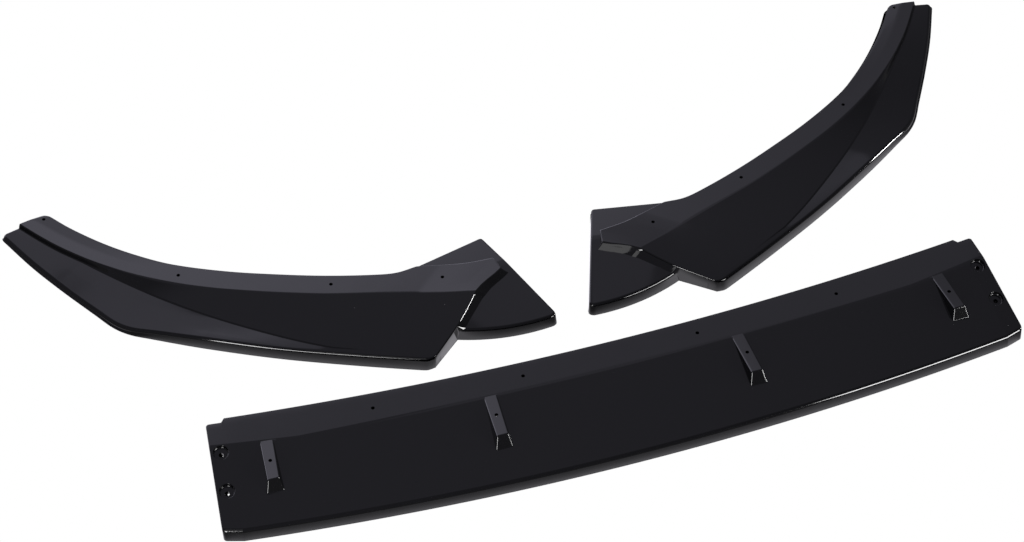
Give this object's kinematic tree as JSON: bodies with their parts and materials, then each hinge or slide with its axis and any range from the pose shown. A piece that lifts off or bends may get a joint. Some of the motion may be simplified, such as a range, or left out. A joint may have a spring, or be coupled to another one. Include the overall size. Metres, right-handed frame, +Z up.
{
  "type": "front splitter lip",
  "caption": "Front splitter lip for a car, moulded in gloss black plastic: a bowed centre panel with raised fins and two mirrored swept wings with a plate at the inner end",
  "frame": {"origin": "on the ground under the middle of the centre panel's front rim", "axes": "+X runs along the centre panel towards the right wing, +Y points back towards the car, +Z is up"},
  "size_m": [1.1415, 0.5276, 0.0353],
  "materials": {
    "gloss_black": "gloss black, moulded"
  },
  "bodies": {
    "root": {"centre_panel": "gloss_black", "left_wing": "gloss_black", "right_wing": "gloss_black"}
  },
  "joints": []
}
